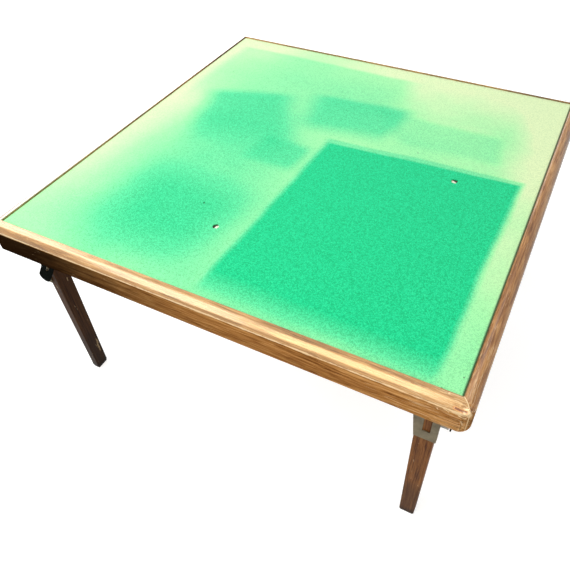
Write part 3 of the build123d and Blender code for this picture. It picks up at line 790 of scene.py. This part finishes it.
def cut_moth_hole(cloth, x, y, radius, seed):
    """In edit mode, cuts one ragged hole into the cloth."""
    select_where(cloth, lambda c: math.hypot(c.x - x, c.y - y) < radius + HOLE_MARGIN)
    bpy.ops.mesh.subdivide(number_cuts=HOLE_CUTS)
    select_where(
        cloth, lambda c: math.hypot(c.x - x, c.y - y) < ragged(math.atan2(c.y - y, c.x - x), radius, seed)
    )
    bpy.ops.mesh.delete(type="FACE")


def make_baize():
    tuck = sizes().baize_tuck
    side = BAIZE_HIGH.x - BAIZE_LOW.x - 2 * tuck
    nap = sizes().baize_nap
    bpy.ops.object.select_all(action="DESELECT")
    bpy.ops.mesh.primitive_grid_add(
        x_subdivisions=BAIZE_CELLS, y_subdivisions=BAIZE_CELLS, size=side, location=(0, 0, BAIZE_HIGH.z + nap)
    )
    cloth = bpy.context.object
    cloth.name = "baize_cloth"
    settle(cloth)
    bpy.ops.object.mode_set(mode="EDIT")
    bpy.ops.mesh.select_mode(type="FACE")
    for order, (x, y, share, _) in enumerate(MOTH_HOLES):
        cut_moth_hole(cloth, x, y, sizes().hole_radius * share, order)
    bpy.ops.object.mode_set(mode="OBJECT")
    # A soft fall towards the tucked edge, and the slight waves of old cloth
    for point in cloth.data.vertices:
        from_edge = side / 2 - max(abs(point.co.x), abs(point.co.y))
        fall = EDGE_FALL * max(0.0, 1 - from_edge / EDGE_FALL_WIDTH) ** 2
        wave = CLOTH_WAVES * noise.noise(point.co * CLOTH_WAVE_SCALE)
        point.co.z -= fall + 0.5 * CLOTH_WAVES - 0.5 * wave
    apply_modifier(cloth, "SOLIDIFY", thickness=CLOTH_THICKNESS + nap, offset=-1.0)
    cloth.data.materials.clear()
    cloth.data.materials.append(baize_finish())
    bpy.ops.object.shade_smooth_by_angle(angle=BAIZE_CREASE)
    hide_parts("baize")
    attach(cloth, "table_top")


class TABLE_OT_baize(bpy.types.Operator):
    """Lays the sun-faded baize with its moth holes"""

    bl_idname = "card_table.baize"
    bl_label = "Baize"

    def execute(self, context):
        make_baize()
        return {"FINISHED"}


def cut_across(piece, axis, places):
    """In edit mode, cuts a piece across one axis at each of the places."""
    for place in places:
        bpy.ops.mesh.select_all(action="SELECT")
        bpy.ops.mesh.bisect(plane_co=axis * place, plane_no=axis)


def cut_gouge_cells(piece):
    """In edit mode, cuts the front rail into cells where the gouge goes."""
    margin = 3 * GOUGE_RADIUS
    low = GOUGE_STROKE[0][0] - margin
    high = GOUGE_STROKE[1][0] + margin
    cells = int((high - low) / GOUGE_CELL)
    cut_across(piece, ACROSS, [low + cell * GOUGE_CELL for cell in range(cells)])


def dent(piece):
    """Presses the gouge into the shoulder of the front rail."""
    start, end = (Vector(place) for place in GOUGE_STROKE)
    run = end - start
    reach = 2 * GOUGE_RADIUS
    for point in piece.data.vertices:
        share = min(1.0, max(0.0, (point.co - start).dot(run) / run.length_squared))
        gap = (point.co - start - run * share).length
        if gap < reach:
            rough = 1 + GOUGE_RAGGEDNESS * noise.noise(point.co * GOUGE_RAGGED_SCALE)
            point.co += GOUGE_PUSH * (GOUGE_DEPTH * (1 - gap / reach) * rough)


def make_rail(side, top_finish, face_finish):
    """A rail worked over: its faces below the arris are duller than its shoulder."""
    node = f"{side}_rail"
    bpy.ops.object.select_all(action="DESELECT")
    piece = bpy.data.objects.new(f"{node}_wood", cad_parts[node].data.copy())
    bpy.context.scene.collection.objects.link(piece)
    only_object(piece)
    bpy.ops.object.mode_set(mode="EDIT")
    bpy.ops.mesh.select_all(action="SELECT")
    bpy.ops.mesh.remove_doubles(threshold=WELD)
    cut_across(piece, UP, (ARRIS_HEIGHT,))
    if side == "front":
        cut_gouge_cells(piece)
    bpy.ops.object.mode_set(mode="OBJECT")
    if side == "front":
        dent(piece)
    piece.data.materials.clear()
    piece.data.materials.append(top_finish)
    piece.data.materials.append(face_finish)
    for face in piece.data.polygons:
        face.material_index = 1 if face.center.z < ARRIS_HEIGHT else 0
    bpy.ops.object.shade_smooth_by_angle(angle=RAIL_CREASE)
    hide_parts(node)
    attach(piece, "table_top")


class TABLE_OT_rails(bpy.types.Operator):
    """Stains and wears the four rails"""

    bl_idname = "card_table.rails"
    bl_label = "Rails"

    def execute(self, context):
        face_finishes = {axis: rail_finish(f"rail_face_{axis}", axis, DULL) for axis in ("x", "y")}
        for side, (axis, gloss) in RAIL_SIDES.items():
            make_rail(side, rail_finish(f"{side}_rail_shoulder", axis, gloss), face_finishes[axis])
        return {"FINISHED"}


class TABLE_OT_underside(bpy.types.Operator):
    """Finishes the panel, battens, corner blocks and mitre keys"""

    bl_idname = "card_table.underside"
    bl_label = "Underside"

    def execute(self, context):
        batten = plain_wood_finish("batten_wood", "x")
        block = plain_wood_finish("block_wood", "y")
        paint("top_panel", panel_finish("plywood"))
        for node in ("front_batten", "back_batten"):
            paint(node, batten)
        for corner in CORNERS:
            paint(f"corner_block_{corner}", block)
            paint(f"mitre_key_{corner}", block)
        return {"FINISHED"}


class TABLE_OT_legs(bpy.types.Operator):
    """Finishes the legs and their foot pads"""

    bl_idname = "card_table.legs"
    bl_label = "Legs"

    def execute(self, context):
        wood = leg_finish("leg_wood")
        rubber = rubber_finish("pad_rubber")
        for corner in CORNERS:
            paint(f"leg_{corner}", wood)
            paint(f"foot_pad_{corner}", rubber)
        return {"FINISHED"}


class TABLE_OT_steel(bpy.types.Operator):
    """Finishes the sockets, brackets, pins, stays and screws"""

    bl_idname = "card_table.steel"
    bl_label = "Steel fittings"

    def execute(self, context):
        tones = colours()
        socket = painted_steel_finish(
            "socket_steel", tones.socket_paint[:], roughness=0.45, chipped=0.5, specular=0.12
        )
        # Painted shade: near-black paint on the stays and brackets
        dark = painted_steel_finish(
            "shaded_stay_steel", tones.shaded_stay_paint[:], roughness=0.5, chipped=0.12, specular=0.0
        )
        bright = bright_steel_finish("bright_steel")
        for corner in CORNERS:
            paint(f"leg_socket_{corner}", socket)
            paint(f"hinge_bracket_{corner}", dark)
            paint(f"stay_{corner}", dark)
            for node in ("hinge_pin", "leg_screws", "stay_stud"):
                paint(f"{node}_{corner}", bright)
        for node in ("bracket_screws", "batten_screws", "stay_screws"):
            paint(node, bright)
        return {"FINISHED"}


# Camera solved from the four corners of the baize in the 570 pixel photograph
PHOTO_WIDTH = 570
PHOTO_CENTRE_COLUMN = 285.0
OPTICAL_CENTRE_COLUMN = 312.0
FOCAL_PIXELS = 579.16
SENSOR_WIDTH = 36.0
NEAREST_SEEN = 10 * MILLIMETRE
CAMERA_PLACE = (0.37834, -0.76023, 0.95845)
CAMERA_RIGHT = (0.894935, 0.445893, -0.016445)
CAMERA_DOWN = (0.311644, -0.651015, -0.692140)
CAMERA_FORWARD = (-0.319326, 0.614295, -0.721576)


def make_camera():
    data = bpy.data.cameras.new("photo_camera")
    data.sensor_width = SENSOR_WIDTH
    data.lens = FOCAL_PIXELS / PHOTO_WIDTH * SENSOR_WIDTH
    data.shift_x = (PHOTO_CENTRE_COLUMN - OPTICAL_CENTRE_COLUMN) / PHOTO_WIDTH
    data.clip_start = NEAREST_SEEN
    camera = bpy.data.objects.new("photo_camera", data)
    bpy.context.scene.collection.objects.link(camera)
    turn = Matrix((Vector(CAMERA_RIGHT), -Vector(CAMERA_DOWN), -Vector(CAMERA_FORWARD))).transposed()
    camera.matrix_world = Matrix.Translation(CAMERA_PLACE) @ turn.to_4x4()
    bpy.context.scene.camera = camera


# Soft lamps: the place of each, the place it faces, its two sides in metres, its watts and its colour
DAYLIGHT = linear(240, 247, 255)
WARM = linear(255, 246, 226)
NEUTRAL = (1.0, 1.0, 1.0)
LAMPS = {
    "window": ((-1.40, 2.05, 1.60), (0.0, 0.0, 0.45), (4.4, 2.1), 88.0, DAYLIGHT),
    "side_window": ((-1.18, -1.23, 1.80), (-1.18, -0.715, 0.943), (0.95, 1.98), 25.0, DAYLIGHT),
    "skylight": ((-1.95, -0.35, 1.85), (-0.30, -0.38, 0.39), (1.3, 0.8), 14.0, DAYLIGHT),
    "right_fill": ((1.20, 0.90, 2.20), (0.2, 0.0, 0.39), (1.2, 1.2), 9.0, NEUTRAL),
    "overhead_panel": ((-0.20, -1.30, 2.05), (-0.20, -0.785, 1.193), (1.0, 1.7), 21.0, WARM),
    "front_fill": ((1.0, -1.05, 0.75), (0.25, -0.35, 0.3), (0.6, 0.6), 5.0, NEUTRAL),
}


def make_lamp(name, place, target, size, power, tint):
    data = bpy.data.lights.new(name, "AREA")
    data.shape = "RECTANGLE"
    data.size, data.size_y = size
    data.energy = power
    data.color = tint
    lamp = bpy.data.objects.new(name, data)
    bpy.context.scene.collection.objects.link(lamp)
    lamp.location = place
    lamp.rotation_euler = (Vector(target) - Vector(place)).to_track_quat("-Z", "Y").to_euler()


# How bright the floor and the backdrop look, and the backdrop's strength as a light on the table
FLOOR_SIDE = 30.0
FLOOR_GLOW = 0.72
FLOOR_CLOUDS = {"scale": 3.0, "detail": 3.0}
FLOOR_STOPS = (0.3, 0.7)
FLOOR_ROUGHNESS = 0.9
WHITE = (1.0, 1.0, 1.0, 1.0)
BACKDROP_GLOW = 1.0
BACKDROP_LIGHT = 0.06


def seen_directly(nodes, links):
    """1 for a ray from the camera, in a reflection or through glass, and 0 for one that lights the table."""
    path = nodes.new("ShaderNodeLightPath")
    seen = path.outputs["Is Camera Ray"]
    for kind in ("Is Glossy Ray", "Is Transmission Ray"):
        either = nodes.new("ShaderNodeMath")
        either.operation = "MAXIMUM"
        links.new(seen, either.inputs[0])
        links.new(path.outputs[kind], either.inputs[1])
        seen = either.outputs[0]
    return seen


def make_floor():
    """A pale floor with a glow of its own, which doesn't light the table, so that its shadow stays light."""
    bpy.ops.object.select_all(action="DESELECT")
    bpy.ops.mesh.primitive_plane_add(size=FLOOR_SIDE, location=(0, 0, 0))
    floor = bpy.context.object
    floor.name = "studio_floor"
    paper = Finish("studio_floor")
    cloud = paper.noise(paper.place, **FLOOR_CLOUDS)
    tones = colours()
    colour = paper.ramp(cloud, zip(FLOOR_STOPS, (tones.floor_dark[:], tones.floor_light[:])))
    paper.finish(colour, FLOOR_ROUGHNESS)
    glow_strength = paper.times(seen_directly(paper.nodes, paper.links), FLOOR_GLOW)
    glow = paper.node("ShaderNodeEmission", {"Color": WHITE, "Strength": glow_strength})
    both = paper.node("ShaderNodeAddShader", {0: paper.shader.outputs[0], 1: glow.outputs[0]})
    paper.feed(paper.nodes["Material Output"].inputs["Surface"], both.outputs[0])
    floor.data.materials.append(paper.material)


def make_world():
    """A white backdrop that lights the table only a little."""
    world = bpy.data.worlds.new("studio")
    bpy.context.scene.world = world
    world.use_nodes = True
    nodes, links = world.node_tree.nodes, world.node_tree.links
    strength = nodes.new("ShaderNodeMapRange")
    strength.inputs["To Min"].default_value = BACKDROP_LIGHT
    strength.inputs["To Max"].default_value = BACKDROP_GLOW
    links.new(seen_directly(nodes, links), strength.inputs["Value"])
    backdrop = nodes["Background"]
    backdrop.inputs["Color"].default_value = WHITE
    links.new(strength.outputs[0], backdrop.inputs["Strength"])


class TABLE_OT_stage(bpy.types.Operator):
    """Sets the camera, pale floor, backdrop and soft lamps"""

    bl_idname = "card_table.stage"
    bl_label = "Studio"

    def execute(self, context):
        context.scene.view_settings.view_transform = "Standard"
        make_camera()
        make_floor()
        make_world()
        for name, settings in LAMPS.items():
            make_lamp(name, *settings)
        return {"FINISHED"}


class TABLE_PT_panel(bpy.types.Panel):
    """Lists the steps in the order they are run, then the sizes and colours"""

    bl_label = "Card table"
    bl_idname = "TABLE_PT_panel"
    bl_space_type = "VIEW_3D"
    bl_region_type = "UI"
    bl_category = "Card table"

    def draw(self, context):
        for operator in OPERATORS:
            self.layout.operator(operator.bl_idname)
        for settings in (context.scene.card_table_sizes, context.scene.card_table_colours):
            for name in settings.__annotations__:
                self.layout.prop(settings, name)


OPERATORS = (
    TABLE_OT_stage,
    TABLE_OT_baize,
    TABLE_OT_rails,
    TABLE_OT_underside,
    TABLE_OT_legs,
    TABLE_OT_steel,
)
CLASSES = (CardTableColours, CardTableSizes, *OPERATORS, TABLE_PT_panel)


def register():
    for cls in CLASSES:
        bpy.utils.register_class(cls)
    bpy.types.Scene.card_table_colours = bpy.props.PointerProperty(type=CardTableColours)
    bpy.types.Scene.card_table_sizes = bpy.props.PointerProperty(type=CardTableSizes)


def unregister():
    del bpy.types.Scene.card_table_sizes
    del bpy.types.Scene.card_table_colours
    for cls in reversed(CLASSES):
        bpy.utils.unregister_class(cls)


def main():
    register()
    bpy.ops.card_table.stage()
    bpy.ops.card_table.baize()
    bpy.ops.card_table.rails()
    bpy.ops.card_table.underside()
    bpy.ops.card_table.legs()
    bpy.ops.card_table.steel()


if __name__ == "__main__":
    main()
